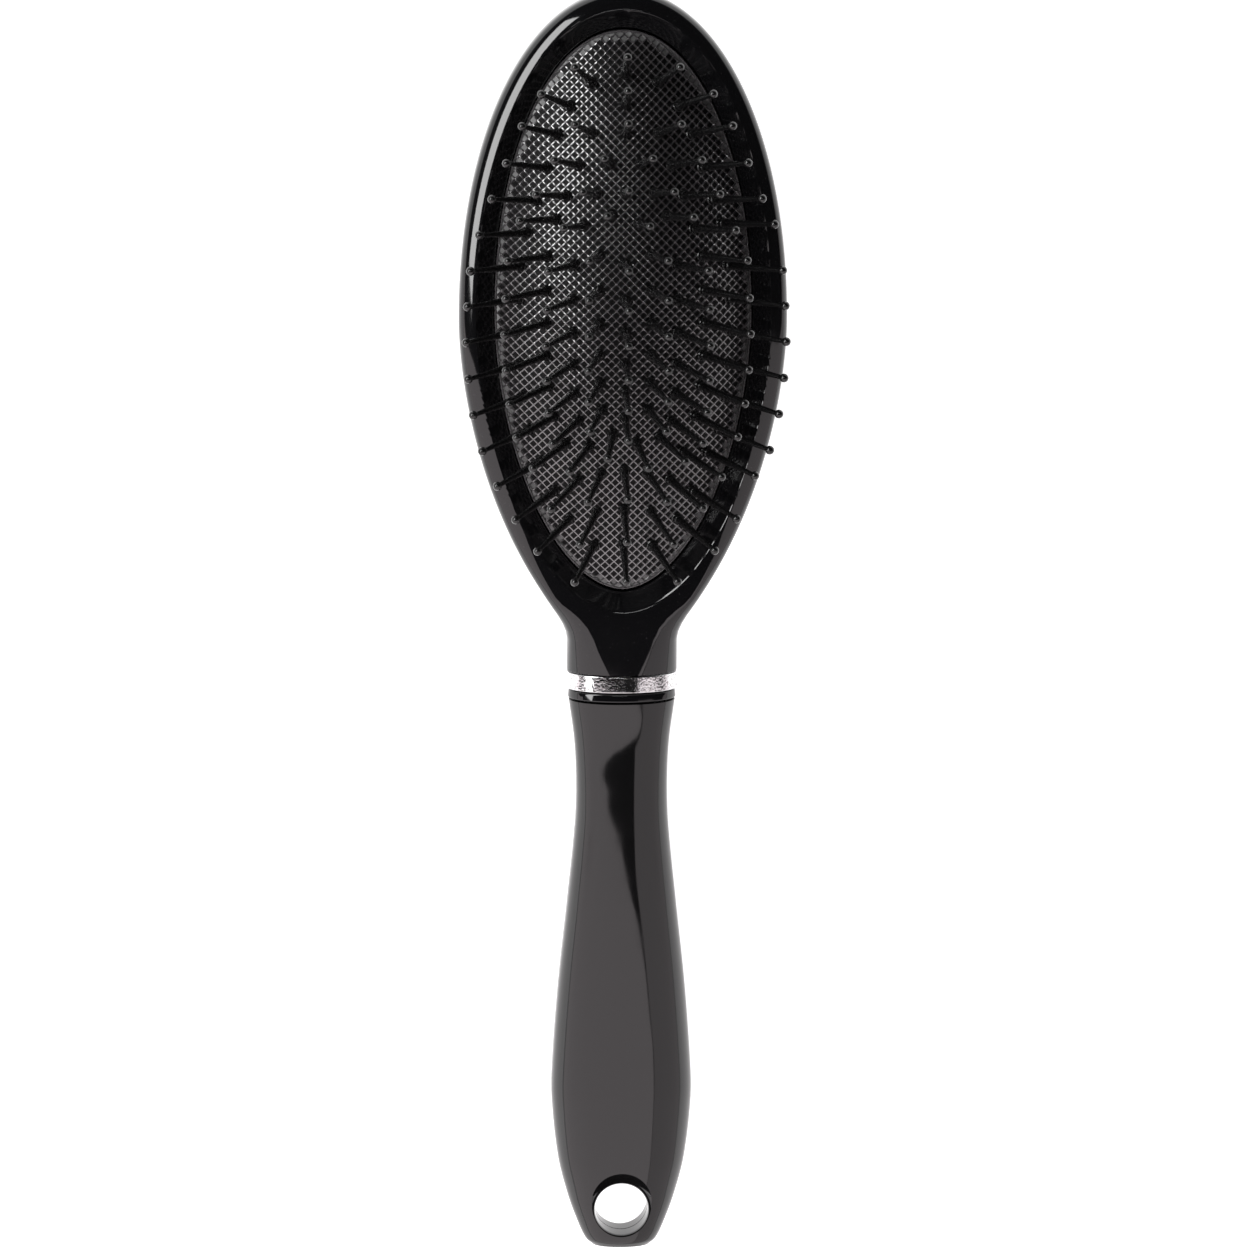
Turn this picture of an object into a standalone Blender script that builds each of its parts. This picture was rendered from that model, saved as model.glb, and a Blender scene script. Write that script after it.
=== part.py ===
"""Oval cushion hair brush (paddle brush family): gloss head, domed rubber cushion with sixteen
rows of ball-tipped pins, bright collar ring and a two-piece handle with a hanging hole.

The brush lies on its back: +Z is up (the way the pins point), +Y runs from the handle to the
head tip and +X is to the right seen from the pin side. Metres; the origin is the middle of the
footprint, on the surface it rests on.
"""
import math

import bmesh
import bpy
from mathutils import Matrix, Vector

MM = 0.001

# ---- driving dimensions, in millimetres ----
GAP = 0.3                      # clearance between pieces that touch
TIP_Y, BUTT_Y = 122.5, -122.5  # ends of the brush

# head
HEAD_HALF_WIDTH = 31.2
HEAD_WIDEST_Y = 59.9
HEAD_TOP_POWER, HEAD_LOW_POWER = 2.06, 1.75
HEAD_LOW_LENGTH = 62.2
NECK_HALF_WIDTH = 10.6
NECK_END_Y = -7.9
# rim section: inset from the outline and height, at the head and at the end of the neck
RIM_AT_HEAD = [(8.0, 0.0), (4.2, 0.35), (1.9, 1.9), (0.55, 4.4), (0.0, 7.2), (0.22, 9.9),
               (0.85, 12.0), (1.8, 13.4), (2.9, 14.0), (4.4, 14.0)]
RIM_AT_NECK = [(6.8, 0.7), (4.2, 1.3), (2.0, 2.6), (0.6, 4.8), (0.0, 7.5), (0.5, 9.9),
               (2.0, 12.2), (4.4, 13.7), (7.2, 14.3), (9.3, 14.4)]
NECK_BLEND_Y = (7.0, -8.5)     # where the head section starts and stops turning into the neck's
HEAD_STATIONS = 40

# recess in the head
PAD_CENTRE_Y, PAD_HALF_WIDTH, PAD_HALF_LENGTH = 61.7, 24.1, 53.4
PAD_TOP_POWER, PAD_LOW_POWER = 2.05, 1.85
RECESS_CLEAR = 0.45            # between the cushion's edge and the recess wall
SLOPE_WIDTH, RECESS_EDGE_Z, SLOPE_TOP_Z, FLOOR_Z = 3.4, 11.3, 14.1, 4.0
OVAL_POINTS = 40

# rubber cushion
DOME_EDGE_Z, DOME_HEIGHT, DOME_POWER = 11.0, 11.0, 2.2
RUBBER = 1.4
SKIRT_BOTTOM_Z = 7.0
RETAINER_WIDTH, RETAINER_TOP_Z = 1.4, 6.4

# pins: sixteen rows across the head, from the tip end to the handle end
ROW_Y = [105.6, 101.2, 95.9, 89.7, 83.6, 77.4, 71.1, 64.9, 58.7, 52.4, 46.1, 39.8, 33.8, 28.0,
         22.6, 17.4]
ROW_PINS = [3, 3, 5, 6, 7, 8, 9, 9, 9, 9, 9, 9, 8, 7, 5, 3]
ROW_HALF_SPAN = [6.2, 10.2, 12.6, 14.6, 16.5, 18.2, 19.4, 19.8, 20.0, 19.7, 19.0, 17.7, 15.6,
                 13.1, 10.2, 5.6]
ROW_BOW = [1.6, 0.6, 0.6, 1.2, 2.0, 2.4, 1.2, 0.6, 0.6, 1.0, 2.0, 3.2, 4.4, 4.6, 2.4, 0.4]
ROW_ZIGZAG = 1.7               # every other pin of the long rows stands this far forward
PIN_SIDES = 6
PIN_LENGTH = 15.8              # cushion surface to the middle of the ball tip
BALL_RADIUS = 0.85
COLLAR_RADIUS, ROOT_RADIUS = 0.95, 0.72
COLLAR_HEIGHT = 0.9
HOLE_RADIUS = 1.27
FOOT_WIDTH, FOOT_THICK, FOOT_END_DROP = 2.4, 1.2, 1.0
LENGTHWISE_LEAN = 0.8          # pins lean a little less than the cushion's slope lengthwise
SHEET_GAP, SHEET_THICK, SHEET_REACH = 1.0, 1.0, 0.84

# collar
RING_Y, LIP_Y = (-8.2, -11.3), (-11.6, -13.3)
COLLAR_Z = 7.5
TANG_WIDTH, TANG_THICK, TANG_END_Y = 7.6, 4.4, -46.0

# handle: position, half width, half thickness, height of the middle
HANDLE_STATIONS = [
    (-13.6, 10.25, 6.90, 7.5), (-22.0, 9.15, 6.65, 7.65), (-30.0, 8.80, 6.83, 8.12),
    (-38.0, 9.05, 7.18, 8.47), (-53.6, 10.60, 7.90, 8.9), (-69.0, 12.25, 8.55, 9.05),
    (-85.0, 13.45, 8.95, 9.2), (-92.5, 13.60, 8.90, 9.15), (-104.5, 12.35, 7.60, 8.9),
    (-112.3, 10.45, 6.10, 8.7), (-118.0, 8.45, 5.00, 8.6), (-121.3, 6.90, 4.10, 8.6),
    (-122.5, 5.60, 3.20, 8.6)]
HANDLE_CUTS = 34
HANDLE_ARC_POINTS = 15
HANDLE_POWER = 2.15
HANDLE_HOLLOW_Y = (-16.5, -98.0)
HANDLE_WALL = 2.4
HOLE_Y, HANG_HOLE_RADIUS, HANG_HOLE_FLARE = -114.6, 5.2, 0.9


# ---- scene and material helpers ----
def clear_scene():
    for obj in list(bpy.data.objects):
        bpy.data.objects.remove(obj, do_unlink=True)


def collection(name):
    made = bpy.data.collections.new(name)
    bpy.context.scene.collection.children.link(made)
    return made


def material(name, colour, roughness, metallic=0.0, coat=0.0):
    made = bpy.data.materials.new(name)
    made.use_nodes = True
    shader = made.node_tree.nodes["Principled BSDF"]
    shader.inputs["Base Color"].default_value = (*colour, 1.0)
    shader.inputs["Roughness"].default_value = roughness
    shader.inputs["Metallic"].default_value = metallic
    shader.inputs["Coat Weight"].default_value = coat
    made.diffuse_color = (*colour, 1.0)
    return made


def add_mesh(name, bm, where, mat=None):
    """An object from a bmesh drawn in millimetres."""
    bmesh.ops.recalc_face_normals(bm, faces=bm.faces)
    mesh = bpy.data.meshes.new(name)
    bmesh.ops.scale(bm, vec=(MM, MM, MM), verts=bm.verts)
    bm.to_mesh(mesh)
    bm.free()
    obj = bpy.data.objects.new(name, mesh)
    where.objects.link(obj)
    if mat:
        mesh.materials.append(mat)
    return obj


def apply_modifiers(obj):
    graph = bpy.context.evaluated_depsgraph_get()
    mesh = bpy.data.meshes.new_from_object(obj.evaluated_get(graph))
    obj.modifiers.clear()
    obj.data = mesh


def boolean(obj, cutter, operation="DIFFERENCE"):
    mod = obj.modifiers.new("cut", "BOOLEAN")
    mod.operation = operation
    mod.solver = "EXACT"
    mod.object = cutter
    apply_modifiers(obj)


def smooth(obj, degrees=35):
    mesh = obj.data
    mesh.shade_smooth()
    mesh.set_sharp_from_angle(angle=math.radians(degrees))


# ---- shape helpers, in millimetres ----
def ring_loft(bm, rings, closed=False):
    """Quads between rings of equal length; the ends are capped unless the loft closes on itself."""
    made = [[bm.verts.new(p) for p in ring] for ring in rings]
    count = len(made[0])
    pairs = list(zip(made, made[1:])) + ([(made[-1], made[0])] if closed else [])
    for low, high in pairs:
        for i in range(count):
            j = (i + 1) % count
            bm.faces.new((low[i], low[j], high[j], high[i]))
    if not closed:
        bm.faces.new(made[0])
        bm.faces.new(made[-1])
    return made


def blend(low, high, t):
    return low + (high - low) * t


def smooth_step(t):
    t = min(1.0, max(0.0, t))
    return t * t * (3 - 2 * t)


def spline(stations, y):
    """Smooth values of the handle's stations at y."""
    last = len(stations) - 1
    k = next((i for i in range(last) if y >= stations[i + 1][0]), last - 1)
    a, b, c, d = (stations[min(last, max(0, k + i))] for i in (-1, 0, 1, 2))
    t = (y - b[0]) / (c[0] - b[0])
    out = []
    for i in range(1, len(b)):
        before = (c[i] - a[i]) / ((c[0] - a[0]) or 1) * (c[0] - b[0])
        after = (d[i] - b[i]) / ((d[0] - b[0]) or 1) * (c[0] - b[0])
        out.append((2 * t**3 - 3 * t**2 + 1) * b[i] + (t**3 - 2 * t**2 + t) * before
                   + (-2 * t**3 + 3 * t**2) * c[i] + (t**3 - t**2) * after)
    return out


def head_half_width(y):
    if y >= HEAD_WIDEST_Y:
        t, power = (y - HEAD_WIDEST_Y) / (TIP_Y - HEAD_WIDEST_Y), HEAD_TOP_POWER
    else:
        t, power = (HEAD_WIDEST_Y - y) / HEAD_LOW_LENGTH, HEAD_LOW_POWER
    width = HEAD_HALF_WIDTH * max(0.0, 1 - t**power) ** (1 / power)
    if y < HEAD_WIDEST_Y:
        width = (width**4 + NECK_HALF_WIDTH**4) ** 0.25
    return width


def head_outline():
    """Outline of the head and neck, right side up to the tip and left side back down."""
    right = []
    for i in range(HEAD_STATIONS):
        angle = math.pi / 2 * i / HEAD_STATIONS
        y = NECK_END_Y + (TIP_Y - NECK_END_Y) * math.sin(angle)
        right.append((head_half_width(y), y))
    return right + [(0.0, TIP_Y)] + [(-x, y) for x, y in reversed(right)]


def inward_normals(points):
    """Unit normals into an open outline that runs anticlockwise; its ends face across."""
    normals = []
    for i in range(len(points)):
        if i in (0, len(points) - 1):
            normals.append(Vector((-1.0 if i == 0 else 1.0, 0.0)))
            continue
        step = Vector(points[i + 1]) - Vector(points[i - 1])
        normals.append(Vector((-step.y, step.x)).normalized())
    return normals


def pad_oval(offset=0.0, scale=1.0, z=0.0, points=OVAL_POINTS):
    """The cushion's oval, moved outwards by offset or scaled about its centre."""
    ring = []
    for i in range(points):
        angle = 2 * math.pi * (i + 0.5) / points
        c, s = math.cos(angle), math.sin(angle)
        power = PAD_TOP_POWER if s > 0 else PAD_LOW_POWER
        reach = (abs(c) ** power + abs(s) ** power) ** (-1 / power)
        x, y = PAD_HALF_WIDTH * c * reach, PAD_HALF_LENGTH * s * reach
        normal = Vector((
            math.copysign(abs(x / PAD_HALF_WIDTH) ** (power - 1), x) / PAD_HALF_WIDTH,
            math.copysign(abs(y / PAD_HALF_LENGTH) ** (power - 1), y) / PAD_HALF_LENGTH))
        normal.normalize()
        ring.append((x * scale + normal.x * offset,
                     PAD_CENTRE_Y + y * scale + normal.y * offset, z))
    return ring


def pad_reach(x, y):
    """0 at the cushion's centre and 1 at its edge."""
    power = PAD_TOP_POWER if y > PAD_CENTRE_Y else PAD_LOW_POWER
    return (abs(x / PAD_HALF_WIDTH) ** power
            + abs((y - PAD_CENTRE_Y) / PAD_HALF_LENGTH) ** power) ** (1 / power)


def dome_z(x, y):
    return DOME_EDGE_Z + DOME_HEIGHT * (1 - min(1.0, pad_reach(x, y)) ** DOME_POWER)


def dome_normal(x, y):
    step = 0.2
    slope_x = (dome_z(x + step, y) - dome_z(x - step, y)) / (2 * step)
    slope_y = (dome_z(x, y + step) - dome_z(x, y - step)) / (2 * step)
    return Vector((-slope_x, -slope_y * LENGTHWISE_LEAN, 1.0)).normalized()


def row_pins(row):
    """Where each pin of a row meets the cushion, and the way it points."""
    count, pins = ROW_PINS[row], []
    for i in range(count):
        across = 2 * i / (count - 1) - 1
        x = ROW_HALF_SPAN[row] * across
        y = ROW_Y[row] + ROW_BOW[row] * (1 - across**2)
        if count > 7 and i % 2:
            y += ROW_ZIGZAG
        pins.append((Vector((x, y, dome_z(x, y))), dome_normal(x, y)))
    return pins


# ---- the pieces ----
def head_shell(where, cutters, mat):
    """Gloss head: rounded rim, land narrowing to the neck, recess for the cushion, and a tang."""
    outline = head_outline()
    normals = inward_normals(outline)
    rings = []
    for at_head, at_neck in zip(RIM_AT_HEAD, RIM_AT_NECK):
        ring = []
        for (x, y), normal in zip(outline, normals):
            t = smooth_step((NECK_BLEND_Y[0] - y) / (NECK_BLEND_Y[0] - NECK_BLEND_Y[1]))
            inset = blend(at_head[0], at_neck[0], t)
            ring.append((x + normal.x * inset, y + normal.y * inset,
                         blend(at_head[1], at_neck[1], t)))
        rings.append(ring)
    bm = bmesh.new()
    made = [[bm.verts.new(p) for p in ring] for ring in rings]
    for low, high in zip(made, made[1:]):
        for i in range(len(low) - 1):
            bm.faces.new((low[i], low[i + 1], high[i + 1], high[i]))
    for ring in (made[0], made[-1]):           # back and front, bridged across side to side
        last = len(ring) - 1
        for i in range(HEAD_STATIONS - 1):
            bm.faces.new((ring[i], ring[i + 1], ring[last - i - 1], ring[last - i]))
        bm.faces.new(ring[HEAD_STATIONS - 1:HEAD_STATIONS + 2])
    bm.faces.new([ring[0] for ring in made] + [ring[-1] for ring in reversed(made)])
    shell = add_mesh("head_shell", bm, where, mat)

    bm = bmesh.new()
    ring_loft(bm, [
        pad_oval(RECESS_CLEAR, z=FLOOR_Z),
        pad_oval(RECESS_CLEAR, z=RECESS_EDGE_Z - 0.15),
        pad_oval(RECESS_CLEAR + 0.15, z=RECESS_EDGE_Z),
        pad_oval(RECESS_CLEAR + SLOPE_WIDTH, z=SLOPE_TOP_Z),
        pad_oval(RECESS_CLEAR + SLOPE_WIDTH + 0.1, z=SLOPE_TOP_Z + 3)])
    boolean(shell, add_mesh("recess_cutter", bm, cutters))

    bm = bmesh.new()
    for y, shrink in ((NECK_END_Y + 3, 0), (TANG_END_Y + 1, 0), (TANG_END_Y, 0.8)):
        w, t = TANG_WIDTH / 2 - shrink, TANG_THICK / 2 - shrink
        corners = [(w, COLLAR_Z - t), (w, COLLAR_Z + t), (-w, COLLAR_Z + t), (-w, COLLAR_Z - t)]
        section = [bm.verts.new((x, y, z)) for x, z in corners]
        if y == NECK_END_Y + 3:
            bm.faces.new(section)
        else:
            for i in range(4):
                bm.faces.new((before[i], before[(i + 1) % 4], section[(i + 1) % 4], section[i]))
        before = section
    bm.faces.new(before)
    boolean(shell, add_mesh("tang_form", bm, cutters), "UNION")
    smooth(shell, 38)
    return shell


def cushion_pad(where, cutters, mat):
    """Domed rubber cushion with a skirt, and a clearance hole round every pin."""
    steps = (0.999, 0.93, 0.84, 0.72, 0.57, 0.40, 0.20)
    outer, inner = [], []
    for s in steps:
        z = DOME_EDGE_Z + DOME_HEIGHT * (1 - s**DOME_POWER)
        outer.append(pad_oval(scale=s, z=z))
        inner.append(pad_oval(-0.75 * RUBBER * s, s, z - RUBBER * (1 - 0.25 * s * s)))
    rings = (list(reversed(outer)) + [pad_oval(z=SKIRT_BOTTOM_Z)]
             + [pad_oval(offset=-RUBBER, z=SKIRT_BOTTOM_Z)] + inner)
    bm = bmesh.new()
    ring_loft(bm, rings)
    pad = add_mesh("cushion_pad", bm, where, mat)

    bm = bmesh.new()
    for row in range(len(ROW_Y)):
        for base, way in row_pins(row):
            turn = way.to_track_quat("Z", "Y").to_matrix().to_4x4()
            bmesh.ops.create_cone(
                bm, cap_ends=True, segments=PIN_SIDES, radius1=HOLE_RADIUS, radius2=HOLE_RADIUS,
                depth=6.0, matrix=Matrix.Translation(base) @ turn)
    boolean(pad, add_mesh("pin_hole_cutters", bm, cutters))
    smooth(pad, 40)
    return pad


def oval_band(name, where, mat, outside, width, low, high):
    """A flat-sided oval hoop that follows the cushion's edge."""
    bm = bmesh.new()
    ring_loft(bm, [pad_oval(outside, z=low), pad_oval(outside, z=high),
                   pad_oval(outside - width, z=high), pad_oval(outside - width, z=low)],
              closed=True)
    band = add_mesh(name, bm, where, mat)
    smooth(band, 30)
    return band


def backing_sheet(where, mat):
    """Thin domed sheet under the feet of the pins."""
    drop = RUBBER + 2 * GAP + FOOT_THICK + SHEET_GAP
    steps = [SHEET_REACH * s for s in (0.12, 0.45, 0.72, 1.0)]
    rings = []
    for low in (drop, drop + SHEET_THICK):
        side = [pad_oval(scale=s, z=DOME_EDGE_Z + DOME_HEIGHT * (1 - s**DOME_POWER) - low,
                         points=OVAL_POINTS // 2) for s in steps]
        rings += side if low == drop else list(reversed(side))
    bm = bmesh.new()
    ring_loft(bm, rings)
    sheet = add_mesh("backing_sheet", bm, where, mat)
    smooth(sheet, 40)
    return sheet


def pin_form(where):
    """One pin, turned about its own axis, with its base at the origin."""
    foot = -(RUBBER + 2 * GAP + FOOT_THICK * 0.6)
    ball = [(BALL_RADIUS * math.sin(a), PIN_LENGTH + BALL_RADIUS * math.cos(a))
            for a in (math.radians(d) for d in (0, 50, 98, 145))]
    profile = [(max(r, 0.0), z) for r, z in ball] + [
        (ROOT_RADIUS, COLLAR_HEIGHT), (COLLAR_RADIUS, 0.35), (COLLAR_RADIUS, foot), (0.0, foot)]
    mesh = bpy.data.meshes.new("pin_form")
    mesh.from_pydata([(r * MM, 0.0, z * MM) for r, z in profile],
                     [(i, i + 1) for i in range(len(profile) - 1)], [])
    pin = bpy.data.objects.new("pin_form", mesh)
    where.objects.link(pin)
    turn = pin.modifiers.new("turn", "SCREW")
    turn.axis, turn.angle, turn.screw_offset = "Z", 2 * math.pi, 0.0
    turn.steps = turn.render_steps = PIN_SIDES
    turn.use_merge_vertices, turn.merge_threshold = True, 0.00001
    turn.use_normal_calculate = True
    apply_modifiers(pin)
    return pin


def pin_row(row, where, cutters, mat, pin):
    """One row of pins on a thin foot strip that lies under the cushion."""
    name = f"pin_row_{row + 1:02d}"
    pins = row_pins(row)
    depth = RUBBER + 2 * GAP + FOOT_THICK / 2
    feet = [base - way * depth for base, way in pins]
    reach = Vector((1.3, 0, 0))
    path = [feet[0] - reach] + feet + [feet[-1] + reach]
    path[0].z -= FOOT_END_DROP
    path[-1].z -= FOOT_END_DROP
    ways = [pins[0][1]] + [way for base, way in pins] + [pins[-1][1]]
    bm = bmesh.new()
    rings = []
    for p, way in zip(path, ways):
        across = Vector((0, way.z, -way.y)).normalized() * (FOOT_WIDTH / 2)
        up = Vector((0, way.y, way.z)).normalized() * (FOOT_THICK / 2)
        rings.append([p - across - up, p + across - up, p + across + up, p - across + up])
    ring_loft(bm, rings)
    strip = add_mesh(name, bm, where, mat)

    bm = bmesh.new()
    for base, way in pins:
        before = len(bm.verts)
        bm.from_mesh(pin.data)
        bm.verts.ensure_lookup_table()
        turn = way.to_track_quat("Z", "Y").to_matrix().to_4x4()
        place = Matrix.Translation(base) @ turn @ Matrix.Scale(1 / MM, 4)
        bmesh.ops.transform(bm, matrix=place, verts=bm.verts[before:])
    form = add_mesh(name + "_pins_form", bm, cutters)
    boolean(strip, form, "UNION")
    smooth(strip, 50)
    return strip


def oval_section(y, half_width, half_thick, middle, points=32, power=HANDLE_POWER):
    ring = []
    for i in range(points):
        angle = 2 * math.pi * i / points
        c, s = math.cos(angle), math.sin(angle)
        reach = (abs(c) ** power + abs(s) ** power) ** (-1 / power)
        ring.append((half_width * c * reach, y, middle + half_thick * s * reach))
    return ring


def collar(name, where, mat, ends, half_width, half_thick, edge):
    """An oval hoop round the tang, with rounded outer edges."""
    near, far = ends
    hole_w, hole_t = TANG_WIDTH / 2 + 1.4, TANG_THICK / 2 + 1.4
    outside = [(near, edge), (near - edge * 0.3, edge * 0.3), (near - edge, 0.0),
               (far + edge, 0.0), (far + edge * 0.3, edge * 0.3), (far, edge)]
    rings = [oval_section(y, half_width - cut, half_thick - cut, COLLAR_Z)
             for y, cut in outside]
    rings += [oval_section(y, hole_w, hole_t, COLLAR_Z) for y in (far, near)]
    bm = bmesh.new()
    ring_loft(bm, rings, closed=True)
    hoop = add_mesh(name, bm, where, mat)
    smooth(hoop, 40)
    return hoop


def handle_cut_places():
    """Positions of the sections along the handle, closer together at the butt."""
    start = HANDLE_STATIONS[0][0]
    straight = [start + (-112.0 - start) * i / (HANDLE_CUTS - 8) for i in range(HANDLE_CUTS - 8)]
    end = [-112.0 + (BUTT_Y + 112.0) * math.sin(math.pi / 2 * i / 8) for i in range(9)]
    return straight + end


def half_section(y, side, inset=0.0):
    """Upper (side 1) or lower (side -1) half of the handle's section, with a flat parting face."""
    half_width, half_thick, middle = spline(HANDLE_STATIONS, max(BUTT_Y, y))
    half_width, half_thick = half_width - inset, half_thick - inset
    section = []
    for i in range(HANDLE_ARC_POINTS):
        angle = math.pi * i / (HANDLE_ARC_POINTS - 1)
        c, s = math.cos(angle), math.sin(angle)
        reach = (abs(c) ** HANDLE_POWER + abs(s) ** HANDLE_POWER) ** (-1 / HANDLE_POWER)
        lift = max(half_thick * s * reach, 0.0)
        section.append((half_width * c * reach, y, middle + side * (lift + GAP / 2)))
    return section


def handle_half(name, side, where, cutters, mat):
    """One hollow half of the handle, with its half of the hanging hole."""
    bm = bmesh.new()
    ring_loft(bm, [half_section(y, side) for y in handle_cut_places()])
    half = add_mesh(name, bm, where, mat)

    front, back = HANDLE_HOLLOW_Y
    places = [front + (back - front) * i / 8 for i in range(9)]
    bm = bmesh.new()
    rings = []
    for y in places:
        section = half_section(y, side, HANDLE_WALL)
        flat_z = section[0][2] - side * 1.0
        rings.append([(section[0][0], y, flat_z)] + section + [(section[-1][0], y, flat_z)])
    ring_loft(bm, rings)
    boolean(half, add_mesh(name + "_hollow_cutter", bm, cutters))

    tang_w, tang_t = TANG_WIDTH / 2 + 0.35, TANG_THICK / 2 + 0.35
    bm = bmesh.new()
    bmesh.ops.create_cube(bm, size=1.0, matrix=Matrix.Translation((0, -15.5, COLLAR_Z))
                          @ Matrix.Diagonal((2 * tang_w, 5.0, 2 * tang_t, 1)))
    boolean(half, add_mesh(name + "_tang_cutter", bm, cutters))

    middle = spline(HANDLE_STATIONS, HOLE_Y)[2]
    bm = bmesh.new()
    rings = []
    for z, radius in ((-12, 12), (-4.6, HANG_HOLE_RADIUS + HANG_HOLE_FLARE),
                      (-3.9, HANG_HOLE_RADIUS + 0.25), (-3.0, HANG_HOLE_RADIUS),
                      (3.0, HANG_HOLE_RADIUS), (3.9, HANG_HOLE_RADIUS + 0.25),
                      (4.6, HANG_HOLE_RADIUS + HANG_HOLE_FLARE), (12, 12)):
        rings.append([(radius * math.cos(a), HOLE_Y + radius * math.sin(a), middle + z)
                      for a in (2 * math.pi * i / 28 for i in range(28))])
    ring_loft(bm, rings)
    boolean(half, add_mesh(name + "_hanging_hole_cutter", bm, cutters))
    smooth(half, 38)
    return half


def build():
    clear_scene()
    parts, cutters = collection("cushion_brush"), collection("cutters")
    gloss = material("head_gloss_black", (0.006, 0.006, 0.007), 0.08, coat=0.6)
    satin = material("handle_black", (0.010, 0.010, 0.011), 0.22, coat=0.3)
    chrome = material("collar_chrome", (0.78, 0.78, 0.80), 0.07, metallic=1.0)
    lip = material("collar_lip_black", (0.008, 0.008, 0.009), 0.12, coat=0.5)
    rubber = material("cushion_rubber", (0.030, 0.028, 0.030), 0.55)
    nylon = material("pin_nylon_black", (0.010, 0.010, 0.011), 0.28)
    felt = material("backing_felt", (0.05, 0.05, 0.05), 0.9)
    inner = material("retainer_plastic", (0.02, 0.02, 0.02), 0.5)

    head_shell(parts, cutters, gloss)
    cushion_pad(parts, cutters, rubber)
    oval_band("pad_retainer", parts, inner, -RUBBER - GAP, RETAINER_WIDTH,
              FLOOR_Z + GAP, RETAINER_TOP_Z)
    backing_sheet(parts, felt)
    pin = pin_form(cutters)
    for row in range(len(ROW_Y)):
        pin_row(row, parts, cutters, nylon, pin)
    collar("collar_ring", parts, chrome, RING_Y, 10.7, 7.25, 0.75)
    collar("collar_lip", parts, lip, LIP_Y, 10.4, 7.0, 0.5)
    handle_half("handle_front", 1, parts, cutters, satin)
    handle_half("handle_rear", -1, parts, cutters, satin)
    for cutter in cutters.objects:
        cutter.hide_render = True
        cutter.display_type = "WIRE"


build()
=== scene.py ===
"""Looks of the oval cushion hair brush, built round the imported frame.

Lengths are in millimetres up to add_mesh, and in metres from there on. +Z is up, and +Y runs from
the handle to the tip of the head.
"""
import math

import bmesh
import bpy
from mathutils import Matrix, Vector


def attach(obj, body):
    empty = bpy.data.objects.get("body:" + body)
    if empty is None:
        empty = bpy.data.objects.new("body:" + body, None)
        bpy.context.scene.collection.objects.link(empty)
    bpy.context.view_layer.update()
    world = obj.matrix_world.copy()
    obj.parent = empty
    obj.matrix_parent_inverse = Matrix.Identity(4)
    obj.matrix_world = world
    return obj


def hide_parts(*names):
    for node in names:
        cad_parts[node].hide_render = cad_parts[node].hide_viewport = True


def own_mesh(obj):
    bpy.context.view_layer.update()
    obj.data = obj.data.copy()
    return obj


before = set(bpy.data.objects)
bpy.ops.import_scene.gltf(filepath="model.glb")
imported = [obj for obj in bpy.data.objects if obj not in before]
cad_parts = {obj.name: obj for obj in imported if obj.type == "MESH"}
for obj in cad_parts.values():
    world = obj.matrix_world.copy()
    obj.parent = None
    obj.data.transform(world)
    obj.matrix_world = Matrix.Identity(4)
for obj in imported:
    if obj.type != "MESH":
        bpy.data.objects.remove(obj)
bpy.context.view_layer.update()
MM = 0.001

# ---- dimensions in millimetres, as in the CAD ----
TIP_Y, BUTT_Y = 122.5, -122.5
HEAD_HALF_WIDTH, HEAD_WIDEST_Y = 31.2, 59.9
HEAD_TOP_POWER, HEAD_LOW_POWER, HEAD_LOW_LENGTH = 2.06, 1.75, 62.2
NECK_HALF_WIDTH, NECK_END_Y = 10.6, -7.9
PAD_CENTRE_Y, PAD_HALF_WIDTH, PAD_HALF_LENGTH = 61.7, 24.1, 53.4
PAD_TOP_POWER, PAD_LOW_POWER = 2.05, 1.85
FLOOR_Z = 4.0
DOME_EDGE_Z, DOME_HEIGHT, DOME_POWER = 11.0, 11.0, 2.2
ROW_Y = [105.6, 101.2, 95.9, 89.7, 83.6, 77.4, 71.1, 64.9, 58.7, 52.4, 46.1, 39.8, 33.8, 28.0,
         22.6, 17.4]
ROW_PINS = [3, 3, 5, 6, 7, 8, 9, 9, 9, 9, 9, 9, 8, 7, 5, 3]
ROW_HALF_SPAN = [6.2, 10.2, 12.6, 14.6, 16.5, 18.2, 19.4, 19.8, 20.0, 19.7, 19.0, 17.7, 15.6,
                 13.1, 10.2, 5.6]
ROW_BOW = [1.6, 0.6, 0.6, 1.2, 2.0, 2.4, 1.2, 0.6, 0.6, 1.0, 2.0, 3.2, 4.4, 4.6, 2.4, 0.4]
ROW_ZIGZAG, LENGTHWISE_LEAN = 1.7, 0.8
PIN_LENGTH, BALL_RADIUS = 15.8, 0.85
COLLAR_Z = 7.5
HANDLE_STATIONS = [
    (-13.6, 10.25, 6.90, 7.5), (-22.0, 9.15, 6.65, 7.65), (-30.0, 8.80, 6.83, 8.12),
    (-38.0, 9.05, 7.18, 8.47), (-53.6, 10.60, 7.90, 8.9), (-69.0, 12.25, 8.55, 9.05),
    (-85.0, 13.45, 8.95, 9.2), (-92.5, 13.60, 8.90, 9.15), (-104.5, 12.35, 7.60, 8.9),
    (-112.3, 10.45, 6.10, 8.7), (-118.0, 8.45, 5.00, 8.6), (-121.3, 6.90, 4.10, 8.6),
    (-122.5, 5.60, 3.20, 8.6)]
HANDLE_POWER = 2.15
HOLE_Y, HANG_HOLE_RADIUS = -114.6, 5.2


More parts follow.
